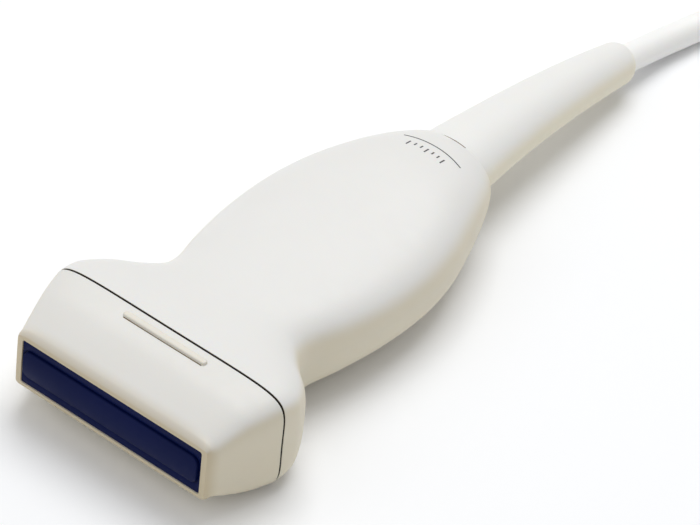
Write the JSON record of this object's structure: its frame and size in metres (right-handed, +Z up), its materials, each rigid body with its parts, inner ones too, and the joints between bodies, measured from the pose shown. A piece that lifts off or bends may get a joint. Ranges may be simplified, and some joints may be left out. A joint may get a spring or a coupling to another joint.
{
  "type": "ultrasound probe",
  "caption": "Hand-held linear-array ultrasound probe with a waisted handle, a bend relief, a coiled cable and a quarter-turn locking plug.",
  "frame": {"origin": "under the middle of the probe's bounding box, on the table that it lies on", "axes": "+X along the long side of the acoustic lens, +Y from the lens towards the cable, +Z up from the table through the probe's thickness"},
  "size_m": [0.0744, 0.3836, 0.0415],
  "materials": {
    "housing_plastic": "ivory moulded plastic, finely eroded mould texture",
    "lens_silicone": "navy filled silicone, satin",
    "matching_epoxy": "cast epoxy, ground flat",
    "copper_foil": "bare rolled copper",
    "piezo_ceramic": "diced fired ceramic, silvered faces",
    "backing_epoxy": "filled epoxy",
    "frame_aluminium": "machined",
    "flex_film": "amber film",
    "seal_rubber": "dark elastic sealant",
    "board_laminate": "solder-masked laminate",
    "connector_plastic": "glass-filled moulding",
    "brass_posts": "turned brass",
    "steel": "plain stainless steel",
    "coax_jacket": "bundled micro-coax",
    "cable_jacket": "off-white flexible jacket, satin",
    "boot_rubber": "ivory overmoulded elastomer, matte",
    "tie_fabric": "woven hook-and-loop strap",
    "plug_plastic": "light moulded plastic, fine texture",
    "shroud_metal": "die-cast, nickel plated",
    "gold_pads": "gold-plated pads",
    "shield_tinplate": "tinned sheet",
    "knob_plastic": "dark grey moulded plastic"
  },
  "bodies": {
    "root": {"acoustic_lens": "lens_silicone", "array_flex_lower": "flex_film", "array_flex_upper": "flex_film", "array_frame": "frame_aluminium", "array_screws": "steel", "backing_block": "backing_epoxy", "board_screws": "steel", "board_spacers": "brass_posts", "boot_retaining_plate": "steel", "cable_clamp_cap": "connector_plastic", "cable_clamp_saddle": "connector_plastic", "cable_coil": "cable_jacket", "cable_ferrule": "brass_posts", "cable_inner_end": "cable_jacket", "cable_lead": "cable_jacket", "cable_tail": "cable_jacket", "clamp_screws": "steel", "coax_loom_lower": "coax_jacket", "coax_loom_upper": "coax_jacket", "coil_tie": "tie_fabric", "contact_block": "connector_plastic", "contact_pads": "gold_pads", "emi_shield": "copper_foil", "flex_sockets": "connector_plastic", "ground_foil": "copper_foil", "handle_lower_shell": "housing_plastic", "handle_upper_shell": "housing_plastic", "inner_matching_layer": "matching_epoxy", "interconnect_board_lower": "board_laminate", "interconnect_board_upper": "board_laminate", "nose_shell": "housing_plastic", "outer_matching_layer": "matching_epoxy", "piezo_elements": "piezo_ceramic", "plug_board": "board_laminate", "plug_board_spacers": "brass_posts", "plug_boot": "boot_rubber", "plug_cable_end": "cable_jacket", "plug_cable_ferrule": "brass_posts", "plug_coax_looms": "coax_jacket", "plug_lower_shell": "plug_plastic", "plug_shell_screws": "steel", "plug_shield_can": "shield_tinplate", "plug_shroud": "shroud_metal", "plug_upper_shell": "plug_plastic", "seam_gasket": "seal_rubber", "shaft_bush": "brass_posts", "strain_relief": "boot_rubber"},
    "lock": {"lock_shaft": "steel", "lock_lugs": "steel", "retaining_clip": "steel", "wave_washer": "steel", "lock_knob": "knob_plastic", "knob_screw": "steel"}
  },
  "joints": [
    {"name": "lock_turn", "type": "hinge", "parent": "root", "child": "lock", "pos_m": [0.0127, 0.27409, 0], "axis": [0, 0, 1], "range_deg": [0, 90]}
  ]
}
